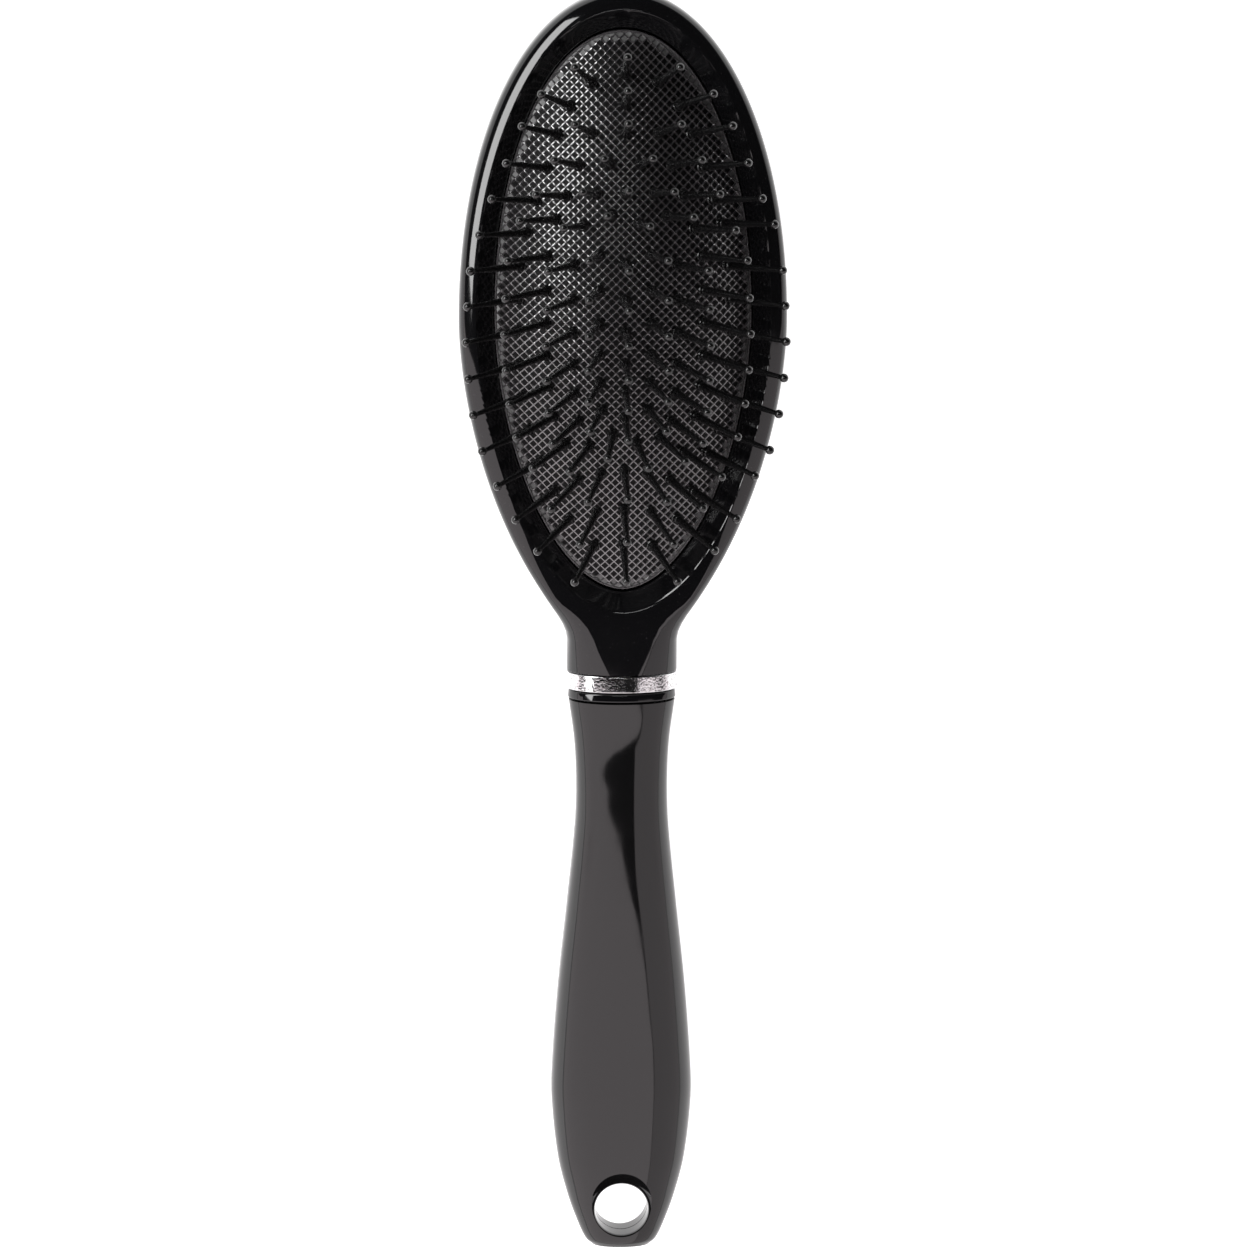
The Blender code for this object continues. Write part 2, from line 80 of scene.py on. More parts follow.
# ---- mesh helpers ----
def add_mesh(name, bm, mats, angle=35):
    """A smooth-shaded object from a bmesh drawn in millimetres."""
    bmesh.ops.recalc_face_normals(bm, faces=bm.faces)
    bmesh.ops.scale(bm, vec=(MM, MM, MM), verts=bm.verts)
    mesh = bpy.data.meshes.new(name)
    bm.to_mesh(mesh)
    bm.free()
    obj = bpy.data.objects.new(name, mesh)
    bpy.context.scene.collection.objects.link(obj)
    for mat in mats:
        mesh.materials.append(mat)
    if angle:
        mesh.shade_smooth()
        mesh.set_sharp_from_angle(angle=math.radians(angle))
    return obj


def cut_away(obj, cutter, angle):
    """Cut the cutter's form out of the object and remove the cutter."""
    mod = obj.modifiers.new("cut", "BOOLEAN")
    mod.operation, mod.solver, mod.object = "DIFFERENCE", "EXACT", cutter
    graph = bpy.context.evaluated_depsgraph_get()
    mesh = bpy.data.meshes.new_from_object(obj.evaluated_get(graph))
    obj.modifiers.clear()
    obj.data = mesh
    bpy.data.objects.remove(cutter, do_unlink=True)
    mesh.shade_smooth()
    mesh.set_sharp_from_angle(angle=math.radians(angle))


def ring_loft(bm, rings, closed=False):
    """Skin a row of rings, and cap its ends unless the last ring joins the first."""
    made = [[bm.verts.new(p) for p in ring] for ring in rings]
    count = len(made[0])
    for low, high in list(zip(made, made[1:])) + ([(made[-1], made[0])] if closed else []):
        for i in range(count):
            j = (i + 1) % count
            bm.faces.new((low[i], low[j], high[j], high[i]))
    if not closed:
        bm.faces.new(made[0])
        bm.faces.new(made[-1])


def spline(stations, y):
    """Smooth values of the handle's stations at y."""
    last = len(stations) - 1
    k = next((i for i in range(last) if y >= stations[i + 1][0]), last - 1)
    a, b, c, d = (stations[min(last, max(0, k + i))] for i in (-1, 0, 1, 2))
    t = (y - b[0]) / (c[0] - b[0])
    out = []
    for i in range(1, len(b)):
        before = (c[i] - a[i]) / ((c[0] - a[0]) or 1) * (c[0] - b[0])
        after = (d[i] - b[i]) / ((d[0] - b[0]) or 1) * (c[0] - b[0])
        out.append((2 * t**3 - 3 * t**2 + 1) * b[i] + (t**3 - 2 * t**2 + t) * before
                   + (-2 * t**3 + 3 * t**2) * c[i] + (t**3 - t**2) * after)
    return out


# ---- shapes shared with the CAD ----
def head_half_width(y):
    """Half width of the head at y, running out smoothly into the neck."""
    if y >= HEAD_WIDEST_Y:
        t, power = (y - HEAD_WIDEST_Y) / (TIP_Y - HEAD_WIDEST_Y), HEAD_TOP_POWER
    else:
        t, power = (HEAD_WIDEST_Y - y) / HEAD_LOW_LENGTH, HEAD_LOW_POWER
    width = HEAD_HALF_WIDTH * max(0.0, 1 - t**power) ** (1 / power)
    if y < HEAD_WIDEST_Y:
        neck = NECK_HALF_WIDTH**4 * (1 - (width / HEAD_HALF_WIDTH) ** 4)
        width = (width**4 + neck) ** 0.25
    return width


def pad_oval(offset, z, points):
    """The cushion's oval, moved outwards by the offset."""
    ring = []
    for i in range(points):
        angle = 2 * math.pi * (i + 0.5) / points
        c, s = math.cos(angle), math.sin(angle)
        power = PAD_TOP_POWER if s > 0 else PAD_LOW_POWER
        reach = (abs(c) ** power + abs(s) ** power) ** (-1 / power)
        x, y = PAD_HALF_WIDTH * c * reach, PAD_HALF_LENGTH * s * reach
        normal = Vector((
            math.copysign(abs(x / PAD_HALF_WIDTH) ** (power - 1), x) / PAD_HALF_WIDTH,
            math.copysign(abs(y / PAD_HALF_LENGTH) ** (power - 1), y) / PAD_HALF_LENGTH))
        normal.normalize()
        ring.append((x + normal.x * offset, PAD_CENTRE_Y + y + normal.y * offset, z))
    return ring


def pad_reach(x, y):
    """0 at the cushion's middle and 1 on its edge."""
    power = PAD_TOP_POWER if y > PAD_CENTRE_Y else PAD_LOW_POWER
    return (abs(x / PAD_HALF_WIDTH) ** power
            + abs((y - PAD_CENTRE_Y) / PAD_HALF_LENGTH) ** power) ** (1 / power)


def dome_z(x, y):
    return DOME_EDGE_Z + DOME_HEIGHT * (1 - min(1.0, pad_reach(x, y)) ** DOME_POWER)


def dome_normal(x, y, lean=1.0):
    """Direction square to the dome; lean scales its slope along the brush."""
    step = 0.2
    slope_x = (dome_z(x + step, y) - dome_z(x - step, y)) / (2 * step)
    slope_y = (dome_z(x, y + step) - dome_z(x, y - step)) / (2 * step)
    return Vector((-slope_x, -slope_y * lean, 1.0)).normalized()


def row_pins(row):
    """Foot and direction of every pin in a row."""
    count, pins = ROW_PINS[row], []
    for i in range(count):
        across = 2 * i / (count - 1) - 1
        x = ROW_HALF_SPAN[row] * across
        y = ROW_Y[row] + ROW_BOW[row] * (1 - across**2)
        if count > 7 and i % 2:
            y += ROW_ZIGZAG
        pins.append((Vector((x, y, dome_z(x, y))), dome_normal(x, y, LENGTHWISE_LEAN)))
    return pins


# ---- materials ----
SCRATCH_DEPTH = 0.0000012


def new_material(name, colour, roughness, metallic=0.0, ior=1.5):
    mat = bpy.data.materials.new(name)
    mat.use_nodes = True
    shader = mat.node_tree.nodes["Principled BSDF"]
    shader.inputs["Base Color"].default_value = (*colour, 1)
    shader.inputs["Roughness"].default_value = roughness
    shader.inputs["Metallic"].default_value = metallic
    shader.inputs["IOR"].default_value = ior
    return mat, mat.node_tree.nodes, mat.node_tree.links, shader


def link_ramp(nodes, links, source, stops, target):
    """Map a source from 0 to 1 through (place, grey or colour) stops into a socket."""
    ramp = nodes.new("ShaderNodeValToRGB")
    while len(ramp.color_ramp.elements) < len(stops):
        ramp.color_ramp.elements.new(0.5)
    for element, (place, value) in zip(ramp.color_ramp.elements, stops):
        element.position = place
        element.color = (*value, 1) if isinstance(value, tuple) else (value, value, value, 1)
    links.new(source, ramp.inputs["Fac"])
    links.new(ramp.outputs["Color"], target)


def noise_node(nodes, links, scale, detail, rough=0.55, stretch=None):
    coords = nodes.new("ShaderNodeTexCoord")
    tex = nodes.new("ShaderNodeTexNoise")
    tex.inputs["Scale"].default_value = scale
    tex.inputs["Detail"].default_value = detail
    tex.inputs["Roughness"].default_value = rough
    if stretch:
        mapping = nodes.new("ShaderNodeMapping")
        mapping.inputs["Scale"].default_value = stretch
        links.new(coords.outputs["Object"], mapping.inputs["Vector"])
        links.new(mapping.outputs["Vector"], tex.inputs["Vector"])
    else:
        links.new(coords.outputs["Object"], tex.inputs["Vector"])
    return tex.outputs["Fac"]


def add_bump(nodes, links, shader, layers):
    """Bump layers of (height output, distance in metres), one feeding the next."""
    before = None
    for height, distance in layers:
        bump = nodes.new("ShaderNodeBump")
        bump.inputs["Strength"].default_value = 1.0
        bump.inputs["Distance"].default_value = distance
        links.new(height, bump.inputs["Height"])
        if before:
            links.new(before.outputs["Normal"], bump.inputs["Normal"])
        before = bump
    links.new(before.outputs["Normal"], shader.inputs["Normal"])


def moulded_black(name, colour, low, high, ripple, dust=0.0):
    """Moulded black plastic: faint flow ripple, fine scratches and uneven polish."""
    mat, nodes, links, shader = new_material(name, colour, low)
    patches = noise_node(nodes, links, 160, 3)
    link_ramp(nodes, links, patches, [(0.3, low), (0.72, high)], shader.inputs["Roughness"])
    scratches = noise_node(nodes, links, 900, 2, stretch=(1.0, 0.06, 1.0))
    waves = noise_node(nodes, links, 90, 1)
    add_bump(nodes, links, shader, [(waves, ripple), (scratches, SCRATCH_DEPTH)])
    if dust:
        specks = noise_node(nodes, links, 2600, 1)
        tint = tuple(min(1.0, c + dust) for c in colour)
        link_ramp(nodes, links, specks, [(0.70, tuple(colour)), (0.80, tint)],
                  shader.inputs["Base Color"])
    return mat


def chrome_material():
    """Bright plating, a little dented, hazy and stained."""
    mat, nodes, links, shader = new_material("collar_bright_metal", (0.80, 0.80, 0.82), 0.05,
                                             metallic=1.0)
    haze = noise_node(nodes, links, 1500, 4)
    link_ramp(nodes, links, haze, [(0.35, 0.03), (0.75, 0.16)], shader.inputs["Roughness"])
    stain = noise_node(nodes, links, 2200, 3, 0.7)
    link_ramp(nodes, links, stain, [(0.36, (0.42, 0.41, 0.41)), (0.50, (0.80, 0.80, 0.81))],
              shader.inputs["Base Color"])
    dents = noise_node(nodes, links, 420, 2)
    grit = noise_node(nodes, links, 2600, 2)
    add_bump(nodes, links, shader, [(dents, 0.000012), (grit, 0.00003)])
    return mat


def rubber_material():
    """The ribs of the rubber, rubbed smooth along their tops, which are painted grey as painted
    highlight and lighter still where ribs cross; the flanks are painted darker as painted shade.
    """
    mat, nodes, links, shader = new_material("ribbed_rubber", (0.03, 0.03, 0.03), 0.5, ior=1.75)
    shader.inputs["Specular IOR Level"].default_value = 1.0
    rib = nodes.new("ShaderNodeAttribute")
    rib.attribute_name = "rib"
    # painted highlight and shade: the rib value paints the tops grey, their crossings lighter, and
    # the flanks down to the hollows near black
    link_ramp(nodes, links, rib.outputs["Fac"],
              [(0.35, (0.0015, 0.0013, 0.0015)), (0.85, (0.034, 0.031, 0.033)),
               (1.0, (0.09, 0.084, 0.088))],
              shader.inputs["Base Color"])
    grain = noise_node(nodes, links, 3200, 3)
    mix = nodes.new("ShaderNodeMath")
    mix.operation = "MULTIPLY_ADD"
    links.new(grain, mix.inputs[0])
    mix.inputs[1].default_value = 0.25
    links.new(rib.outputs["Fac"], mix.inputs[2])
    link_ramp(nodes, links, mix.outputs["Value"], [(0.2, 0.6), (0.95, 0.23)],
              shader.inputs["Roughness"])
    add_bump(nodes, links, shader, [(grain, 0.000005)])
    return mat


def painted_shade_hollow_material():
    """The rubber between the ribs as painted shade: a darker, duller copy of the rubber that
    reflects less, and a little rough.
    """
    mat, nodes, links, shader = new_material("rubber_hollows_painted_shade", (0.002, 0.002, 0.002), 0.5)
    shader.inputs["Specular IOR Level"].default_value = 0.12
    grain = noise_node(nodes, links, 2600, 4)
    link_ramp(nodes, links, grain, [(0.3, (0.0012, 0.001, 0.0012)), (0.8, (0.004, 0.0036, 0.004))],
              shader.inputs["Base Color"])
    link_ramp(nodes, links, grain, [(0.3, 0.42), (0.8, 0.6)], shader.inputs["Roughness"])
    add_bump(nodes, links, shader, [(grain, 0.00001)])
    return mat


def felt_material():
    """Pressed dark fibres."""
    mat, nodes, links, shader = new_material("pressed_felt", (0.05, 0.05, 0.05), 0.9)
    fibres = noise_node(nodes, links, 1800, 6, 0.7, stretch=(1, 0.3, 1))
    link_ramp(nodes, links, fibres, [(0.3, (0.02, 0.02, 0.02)), (0.8, (0.10, 0.10, 0.10))],
              shader.inputs["Base Color"])
    add_bump(nodes, links, shader, [(fibres, 0.0001)])
    return mat


gloss = moulded_black("head_gloss_plastic", (0.0035, 0.0035, 0.004), 0.045, 0.085, 0.00001,
                      dust=0.02)
satin = moulded_black("handle_plastic", (0.004, 0.004, 0.0042), 0.06, 0.10, 0.000005)
lip_black = moulded_black("lip_plastic", (0.003, 0.003, 0.0035), 0.05, 0.1, 0.000004)
nylon = moulded_black("pin_nylon", (0.004, 0.004, 0.0042), 0.07, 0.16, 0.000004)
inner_plastic = moulded_black("retainer_grained_plastic", (0.012, 0.012, 0.012), 0.4, 0.6, 0.00002)
chrome = chrome_material()
rubber = rubber_material()
hollows = painted_shade_hollow_material()
felt = felt_material()


# ---- the head ----
SIDE_STATIONS = 130
ARC_STEPS = 14
# the rim's upper part round the head as (inset, height): wall, tight corner, broad shoulder, crest
HEAD_UPPER = [(0.0, 8.2), (0.0, 9.4), (0.03, 10.3), (0.10, 11.1), (0.27, 11.85), (0.55, 12.45),
              (0.90, 12.85), (1.30, 13.15), (1.80, 13.44), (2.35, 13.70), (2.85, 13.885),
              (3.25, 14.0), (3.55, 14.055), (3.8, 14.08), (4.1, 14.09)]
# back and neck: inset of the flat back or top, and heights of the top, the middle and the back
HEAD_BACK_IN, HEAD_MIDDLE, HEAD_BACK = 8.0, 8.2, 0.0
NECK_TOP_IN, NECK_TOP, NECK_BACK_IN, NECK_MIDDLE, NECK_BACK = 8.3, 14.6, 10.2, 7.5, 0.6
ARC_POWER, LOWER_POWER = 2.1, 2.25
NECK_BLEND_Y = (5.4, -8.4)
# part of the neck's upper arc that is left out, and how much the shoulder narrows towards the neck
NECK_CREASE = 0.26
SHOULDER_SQUEEZE, SQUEEZE_Y = 0.52, (30.0, 5.4)
# (offset from the cushion's edge, height): recess wall, rounded lip, wide slope, rounded crest
RECESS_PROFILE = [
    (0.45, FLOOR_Z), (0.45, 10.95), (0.47, 11.12), (0.55, 11.28), (0.7, 11.44), (1.2, 11.86),
    (2.0, 12.52), (2.6, 13.01), (3.0, 13.33), (3.4, 13.66), (3.7, 13.89), (3.85, 13.98),
    (4.0, 14.04), (4.2, 14.09), (4.6, 14.14), (5.0, 14.27), (5.4, 14.5), (5.6, 17.0)]


def head_outline():
    """The head seen from above, from the neck's right corner round the tip to its left one."""
    right = []
    for i in range(SIDE_STATIONS):
        angle = math.pi / 2 * i / SIDE_STATIONS
        y = NECK_END_Y + (TIP_Y - NECK_END_Y) * math.sin(angle)
        right.append((head_half_width(y), y))
    return right + [(0.0, TIP_Y)] + [(-x, y) for x, y in reversed(right)]


def inward_normals(points):
    """Direction into the head at every outline point, straight across at the neck's end."""
    normals = []
    for i in range(len(points)):
        if i in (0, len(points) - 1):
            normals.append(Vector((-1.0 if i == 0 else 1.0, 0.0)))
            continue
        step = Vector(points[i + 1]) - Vector(points[i - 1])
        normals.append(Vector((-step.y, step.x)).normalized())
    return normals


def passed(y, span):
    """0 before a stretch of y and 1 after it."""
    return min(1.0, max(0.0, (span[0] - y) / (span[0] - span[1])))


def section_at(y):
    """Rim section at y as (inset, height) from the flat back up and over to the flat top."""
    t = passed(y, NECK_BLEND_Y)
    back_in, middle, back = (a + (b - a) * t for a, b in (
        (HEAD_BACK_IN, NECK_BACK_IN), (HEAD_MIDDLE, NECK_MIDDLE), (HEAD_BACK, NECK_BACK)))
    arc = [math.pi / 2 * i / ARC_STEPS for i in range(ARC_STEPS + 1)]
    e = 2 / LOWER_POWER
    low = [(back_in * (1 - math.cos(a) ** e), middle - (middle - back) * math.sin(a) ** e)
           for a in reversed(arc[1:])]
    # at the neck the upper arc stops short of level, which leaves a crease along the top
    short, e = 1 - NECK_CREASE, 2 / ARC_POWER
    full_in, full_up = 1 - math.cos(arc[-1] * short) ** e, math.sin(arc[-1] * short) ** e
    # the shoulder narrows as it comes down to the neck
    near = passed(y, SQUEEZE_Y)
    squeeze = 1 - SHOULDER_SQUEEZE * near * near * (3 - 2 * near)
    high = []
    for a, (inset, height) in zip(arc, HEAD_UPPER):
        inset *= squeeze
        neck_in = NECK_TOP_IN * (1 - math.cos(a * short) ** e) / full_in
        neck_up = NECK_MIDDLE + (NECK_TOP - NECK_MIDDLE) * math.sin(a * short) ** e / full_up
        high.append((inset + (neck_in - inset) * t, height + (neck_up - height) * t))
    return low + high


def build_head():
    """The one-piece head and neck, with the recess for the cushion."""
    outline = head_outline()
    normals = inward_normals(outline)
    sections = [section_at(y) for _, y in outline]
    bm = bmesh.new()
    made = []
    for k in range(len(sections[0])):
        made.append([bm.verts.new((x + n.x * s[k][0], y + n.y * s[k][0], s[k][1]))
                     for (x, y), n, s in zip(outline, normals, sections)])
    for low, high in zip(made, made[1:]):
        for i in range(len(low) - 1):
            bm.faces.new((low[i], low[i + 1], high[i + 1], high[i]))
    for ring in (made[0], made[-1]):
        last = len(ring) - 1
        for i in range(SIDE_STATIONS - 1):
            bm.faces.new((ring[i], ring[i + 1], ring[last - i - 1], ring[last - i]))
        bm.faces.new(ring[SIDE_STATIONS - 1:SIDE_STATIONS + 2])
    bm.faces.new([ring[0] for ring in made] + [ring[-1] for ring in reversed(made)])
    head = add_mesh("head_moulding", bm, [gloss], 40)

    bm = bmesh.new()
    ring_loft(bm, [pad_oval(offset, z, 260) for offset, z in RECESS_PROFILE])
    cut_away(head, add_mesh("recess_form", bm, []), 40)
    head.modifiers.new("even_shading", "WEIGHTED_NORMAL").keep_sharp = True
    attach(head, "head")
    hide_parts("head_shell")


# ---- the rubber cushion ----
RIB_PITCH, RIB_HEIGHT = 1.2, 0.28
# places across one rib from its middle, and how high the rib is there
RIB_SHAPE = [(-0.17, 0.0), (-0.085, 1.0), (0.085, 1.0), (0.17, 0.0)]
# the lattice fades out to a plain margin, which ends at this part of the cushion's reach
MARGIN_REACH, MARGIN_FADE, MARGIN_RIB = 0.992, 0.012, 0.3
# edge bead and skirt as steps (down, out)
SKIRT_STEPS = [(-0.14, 0.06), (-0.07, 0.09), (0.0, 0.10), (0.07, 0.09), (0.14, 0.06), (0.6, 0.0),
               (2.6, 0.0)]


def rib_line(index):
    """Place and height of one of the lattice's lines."""
    period, step = divmod(index, len(RIB_SHAPE))
    offset, height = RIB_SHAPE[step]
    return period * RIB_PITCH + offset, height


def build_cushion():
    """The dome on a diagonal lattice, so that every rib is modelled, with its skirt tucked in."""
    half = 1 / math.sqrt(2)
    bm = bmesh.new()
    layer = bm.verts.layers.float.new("rib")
    reach = int((PAD_HALF_LENGTH + PAD_HALF_WIDTH) / RIB_PITCH) * len(RIB_SHAPE)
    grid = {}
    inside = {}
    for i in range(-reach, reach + 1):
        for j in range(-reach, reach + 1):
            (u, rib_u), (v, rib_v) = rib_line(i), rib_line(j)
            x, y = (u - v) * half, (u + v) * half + PAD_CENTRE_Y
            if abs(x) > PAD_HALF_WIDTH + 1 or abs(y - PAD_CENTRE_Y) > PAD_HALF_LENGTH + 1:
                continue
            r = pad_reach(x, y)
            if r > 1.035:
                continue
            rib = 0.85 * max(rib_u, rib_v) + 0.15 * min(rib_u, rib_v)
            if r >= MARGIN_REACH:
                pull = MARGIN_REACH / r
                x, y = x * pull, PAD_CENTRE_Y + (y - PAD_CENTRE_Y) * pull
                rib = MARGIN_RIB
            else:
                fade = min(1.0, (MARGIN_REACH - r) / MARGIN_FADE)
                rib = rib * fade + MARGIN_RIB * (1 - fade)
            point = Vector((x, y, dome_z(x, y) - RIB_HEIGHT))
            vert = bm.verts.new(point + dome_normal(x, y) * rib * RIB_HEIGHT)
            vert[layer] = rib
            grid[i, j] = vert
            inside[i, j] = r < MARGIN_REACH
    for i, j in grid:
        corners = [(i, j), (i + 1, j), (i + 1, j + 1), (i, j + 1)]
        if all(c in grid for c in corners) and any(inside[c] for c in corners):
            bm.faces.new([grid[c] for c in corners])
    bmesh.ops.delete(bm, geom=[v for v in bm.verts if not v.link_faces], context="VERTS")
    bmesh.ops.remove_doubles(bm, verts=bm.verts, dist=0.02)
    rim = [e for e in bm.edges if e.is_boundary]
    for drop, out in SKIRT_STEPS:
        made = bmesh.ops.extrude_edge_only(bm, edges=rim)["geom"]
        for vert in (g for g in made if isinstance(g, bmesh.types.BMVert)):
            vert.co.z -= drop
            way = Vector((vert.co.x, (vert.co.y - PAD_CENTRE_Y) * 0.25, 0)).normalized()
            vert.co += way * out
            # the bead and skirt take rib value 0.9: smoother, and painted grey like the rib tops
            # as painted highlight
            vert[layer] = 0.9
        rim = [g for g in made if isinstance(g, bmesh.types.BMEdge)]
    # the faces between the ribs take the second material, a darker and duller copy of the rubber
    # as painted shade
    for face in bm.faces:
        face.material_index = int(all(vert[layer] < 0.01 for vert in face.verts))
    pad = add_mesh("cushion_rubber_dome", bm, [rubber, hollows], 34)
    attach(pad, "head")
    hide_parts("cushion_pad")
    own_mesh(pad)


# ---- pins ----
PIN_SIDES, BALL_STEPS, BALL_START = 16, 8, 148
# (radius, height) from the foot under the rubber, over the thick root, to the slim neck
PIN_PROFILE = [(1.20, -1.3), (1.20, 0.02), (1.12, 0.14), (1.02, 0.22), (0.98, 0.40), (0.97, 0.85),
               (0.93, 0.98), (0.86, 1.04), (0.82, 1.6), (0.76, 4.2), (0.66, 7.4), (0.55, 10.8),
               (0.46, 14.0), (0.46, 14.75)]


def pin_rings():
    """The pin's profile with its ball, up to the last ring below the top."""
    rings = list(PIN_PROFILE)
    for i in range(BALL_STEPS):
        angle = math.radians(BALL_START - i * BALL_START / BALL_STEPS)
        rings.append((BALL_RADIUS * math.sin(angle), PIN_LENGTH + BALL_RADIUS * math.cos(angle)))
    return rings


def build_pins(row):
    """One row of pins, on its own body."""
    bm = bmesh.new()
    for base, way in row_pins(row):
        place = Matrix.Translation(base) @ way.to_track_quat("Z", "Y").to_matrix().to_4x4()
        rings = []
        for radius, z in pin_rings():
            rings.append([bm.verts.new(place @ Vector((
                radius * math.cos(2 * math.pi * i / PIN_SIDES),
                radius * math.sin(2 * math.pi * i / PIN_SIDES), z))) for i in range(PIN_SIDES)])
        for low, high in zip(rings, rings[1:]):
            for i in range(PIN_SIDES):
                j = (i + 1) % PIN_SIDES
                bm.faces.new((low[i], low[j], high[j], high[i]))
        bm.faces.new(list(reversed(rings[0])))
        top = bm.verts.new(place @ Vector((0, 0, PIN_LENGTH + BALL_RADIUS)))
        for i in range(PIN_SIDES):
            bm.faces.new((rings[-1][i], rings[-1][(i + 1) % PIN_SIDES], top))
    obj = add_mesh(f"ball_tipped_pins_{row + 1:02d}", bm, [nylon], 50)
    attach(obj, f"pins_{row + 1:02d}")
    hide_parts(f"pin_row_{row + 1:02d}")


# ---- collar ----
BORE_HALF_WIDTH, BORE_HALF_THICK, HOOP_POINTS = 5.2, 3.6, 128


def oval_reach(c, s):
    """How far the handle's unit oval reaches in a direction."""
    return (abs(c) ** HANDLE_POWER + abs(s) ** HANDLE_POWER) ** (-1 / HANDLE_POWER)


def oval_section(y, half_width, half_thick):
    ring = []
    for i in range(HOOP_POINTS):
        angle = 2 * math.pi * i / HOOP_POINTS
        c, s = math.cos(angle), math.sin(angle)
        reach = oval_reach(c, s)
        ring.append((half_width * c * reach, y, COLLAR_Z + half_thick * s * reach))
    return ring


def build_hoop(name, node, mat, ends, half_width, half_thick, round_edge, taper):
    """An oval hoop round the tang, smaller by the taper at its end next to the neck."""
    near, far = ends
    turn = [math.pi / 2 * i / 4 for i in range(5)]
    outside = [(near - round_edge * (1 - math.cos(a)), round_edge * (1 - math.sin(a)) + taper)
               for a in turn]
    outside += [(far + round_edge * (1 - math.cos(a)), round_edge * (1 - math.sin(a)))
                for a in reversed(turn)]
    rings = [oval_section(y, half_width - cut, half_thick - cut) for y, cut in outside]
    rings += [oval_section(y, BORE_HALF_WIDTH, BORE_HALF_THICK) for y in (far, near)]
    bm = bmesh.new()
    ring_loft(bm, rings, closed=True)
    hoop = add_mesh(name, bm, [mat], 40)
    hoop.modifiers.new("even_shading", "WEIGHTED_NORMAL").keep_sharp = True
    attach(hoop, "head")
    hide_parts(node)


# ---- handle ----
EVEN_PLACES, END_PLACES, END_START_Y = 90, 34, -108.0
HALF_STEPS, HALF_GAP, PARTING_ROUND = 44, 0.15, 0.18
# half of the hanging hole as (depth from its middle, radius): wide mouth, rounded edge, bore
HOLE_PROFILE = [(-12, 12.0), (-5.6, 6.5), (-5.25, 6.05), (-5.0, 5.78), (-4.7, 5.52),
                (-4.35, 5.33), (-3.9, 5.22), (-3.4, HANG_HOLE_RADIUS)]


def handle_places():
    """Places of the handle's sections, closer together towards its end."""
    start = HANDLE_STATIONS[0][0]
    even = [start + (END_START_Y - start) * i / EVEN_PLACES for i in range(EVEN_PLACES)]
    return even + [END_START_Y + (BUTT_Y - END_START_Y) * math.sin(math.pi / 2 * i / END_PLACES)
                   for i in range(END_PLACES + 1)]


def build_handle_half(name, node, side):
    """The front (side 1) or rear (side -1) half, with its part of the hanging hole."""
    rings = []
    for y in handle_places():
        half_width, half_thick, middle = spline(HANDLE_STATIONS, y)
        ring = []
        for i in range(HALF_STEPS + 1):
            angle = math.pi * i / HALF_STEPS
            c, s = math.cos(angle), math.sin(angle)
            reach = oval_reach(c, s)
            ring.append((half_width * c * reach, y,
                         middle + side * (max(half_thick * s * reach, 0.0) + HALF_GAP)))
        # the parting edge is slightly rounded in
        ring[0] = (ring[0][0] - PARTING_ROUND, y, ring[0][2])
        ring[-1] = (ring[-1][0] + PARTING_ROUND, y, ring[-1][2])
        rings.append(ring)
    bm = bmesh.new()
    ring_loft(bm, rings)
    half = add_mesh(name, bm, [satin], 32)

    middle = spline(HANDLE_STATIONS, HOLE_Y)[2]
    profile = HOLE_PROFILE + [(-z, r) for z, r in reversed(HOLE_PROFILE)]
    bm = bmesh.new()
    ring_loft(bm, [[(r * math.cos(a), HOLE_Y + r * math.sin(a), middle + z)
                    for a in (2 * math.pi * i / 120 for i in range(120))] for z, r in profile])
    cut_away(half, add_mesh(name + "_hole_form", bm, []), 28)
    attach(half, "head")
    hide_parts(node)


# ---- stage ----
def build_floor():
    """Plain pale paper, just under the brush."""
    mat, nodes, links, shader = new_material("pale_paper", (0.86, 0.86, 0.86), 0.9)
    grain = noise_node(nodes, links, 60, 3)
    link_ramp(nodes, links, grain, [(0.2, 0.48), (0.8, 0.50)], shader.inputs["Base Color"])
    shader.inputs["Emission Color"].default_value = (1, 1, 1, 1)
    shader.inputs["Emission Strength"].default_value = 0.95
    bm = bmesh.new()
    bmesh.ops.create_grid(bm, x_segments=1, y_segments=1, size=3000)
    floor = add_mesh("pale_floor", bm, [mat], 0)
    floor.location.z = -0.0004


def build_sky():
    """A pale horizon under a dark studio ceiling; the soft boxes below give the light."""
    world = bpy.data.worlds.new("studio")
    bpy.context.scene.world = world
    world.use_nodes = True
    nodes, links = world.node_tree.nodes, world.node_tree.links
    background = nodes["Background"]
    background.inputs["Strength"].default_value = 1.0
    coords = nodes.new("ShaderNodeTexCoord")
    split = nodes.new("ShaderNodeSeparateXYZ")
    links.new(coords.outputs["Generated"], split.inputs["Vector"])
    link_ramp(nodes, links, split.outputs["Z"],
              [(0.0, 0.95), (0.10, 0.85), (0.135, 0.03), (1.0, 0.012)], background.inputs["Color"])


# outlines in metres of the two screens over the handle; the gap between them shows dark in it
SCREEN_Z = 0.35
LEFT_SCREEN = [(-6.0, -3.6), (0.240, -3.6), (0.240, -0.30), (0.236, -0.162),
               (0.182, -0.122), (0.141, -0.105), (0.062, -0.084), (0.0, -0.068), (-0.10, -0.056),
               (-0.20, -0.050), (-0.35, -0.054), (-0.8, -0.10), (-1.3, -0.12), (-1.7, -0.08),
               (-6.0, 0.35)]
RIGHT_SCREEN = [(6.0, -3.6), (0.245, -3.6), (0.245, -0.165), (0.186, -0.114), (0.127, -0.078),
                (0.127, -0.020), (0.32, -0.022), (0.6, -0.075), (0.8, -0.10), (1.3, -0.12),
                (1.7, -0.08), (6.0, 0.35)]


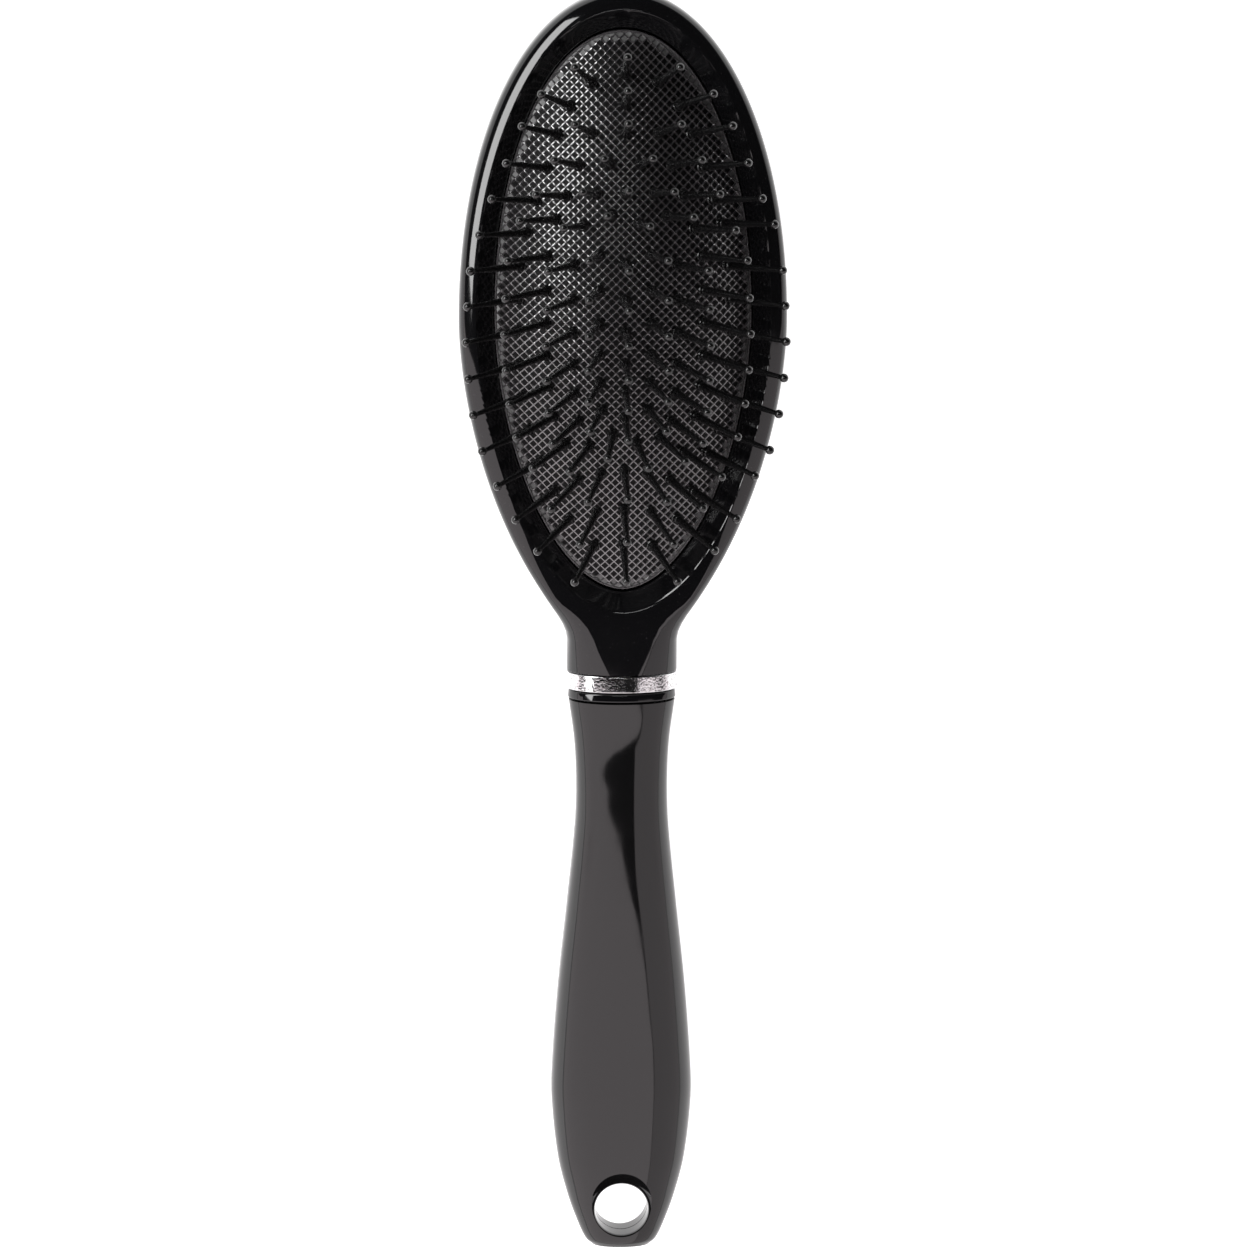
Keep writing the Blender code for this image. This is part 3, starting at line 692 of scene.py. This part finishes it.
def build_screens():
    """Two large glowing sheets, seen only as reflections."""
    for name, outline, strength in (("screen_left", LEFT_SCREEN, 1.75),
                                    ("screen_right", RIGHT_SCREEN, 1.08)):
        mat, nodes, links, shader = new_material(name + "_glow", (0, 0, 0), 1.0)
        glow = noise_node(nodes, links, 2.0, 1)
        shader.inputs["Emission Strength"].default_value = strength
        link_ramp(nodes, links, glow, [(0.2, (0.96, 0.88, 0.90)), (0.8, (1.0, 0.93, 0.95))],
                  shader.inputs["Emission Color"])
        bm = bmesh.new()
        bm.faces.new([bm.verts.new((x / MM, y / MM, SCREEN_Z / MM)) for x, y in outline])
        screen = add_mesh(name, bm, [mat], 0)
        screen.visible_camera = False


def add_panel(name, middle, size, radiance, aim):
    """A soft box of even brightness, facing a point."""
    light = bpy.data.lights.new(name, "AREA")
    light.shape = "RECTANGLE"
    light.size, light.size_y = size
    light.energy = radiance * math.pi * size[0] * size[1]
    panel = bpy.data.objects.new(name, light)
    bpy.context.scene.collection.objects.link(panel)
    panel.location = middle
    way = Vector(aim) - Vector(middle)
    panel.rotation_euler = way.to_track_quat("-Z", "Y").to_euler()
    panel.visible_camera = False


def build_camera():
    """Long lens, tilted towards the head tip and a little from the left."""
    tilt, aside, turn = math.radians(11.34), math.radians(2.3), math.radians(0.15)
    target, distance, view_width = Vector((0.00149, 0.00013, 0.010)), 1.102, 0.2414255
    back = Vector((-math.sin(aside), math.sin(tilt) * math.cos(aside),
                   math.cos(tilt) * math.cos(aside)))
    up = Vector((0, 1, 0)) - back * back.y
    up.normalize()
    right = up.cross(back)
    c, s = math.cos(turn), math.sin(turn)
    right, up = right * c + up * s, up * c - right * s
    data = bpy.data.cameras.new("camera")
    data.sensor_width = 36.0
    data.lens = data.sensor_width * distance / view_width
    data.clip_start, data.clip_end = 0.01, 20
    camera = bpy.data.objects.new("camera", data)
    bpy.context.scene.collection.objects.link(camera)
    spot = target + back * distance
    camera.matrix_world = Matrix((
        (right.x, up.x, back.x, spot.x), (right.y, up.y, back.y, spot.y),
        (right.z, up.z, back.z, spot.z), (0, 0, 0, 1)))
    bpy.context.scene.camera = camera


build_camera()
build_head()
build_cushion()
for row in range(len(ROW_Y)):
    build_pins(row)
build_hoop("bright_collar_ring", "collar_ring", chrome, (-8.2, -11.3), 10.8, 7.25,
           0.16, 0.22)
build_hoop("collar_lip_hoop", "collar_lip", lip_black, (-11.6, -13.3), 10.4,
           7.0, 0.35, 0.13)
build_handle_half("handle_front_half", "handle_front", 1)
build_handle_half("handle_rear_half", "handle_rear", -1)
for node, mat in (("pad_retainer", inner_plastic), ("backing_sheet", felt)):
    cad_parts[node].data.materials.clear()
    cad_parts[node].data.materials.append(mat)
build_floor()
build_sky()
build_screens()
add_panel("box_key", (-0.62, 0.34, 0.62), (0.80, 0.30), 11, (0, 0.06, 0.01))
add_panel("box_top", (-0.03, 0.27, 0.85), (0.26, 0.035), 15, (0, 0.03, 0.01))
bpy.context.scene.view_settings.view_transform = "Standard"
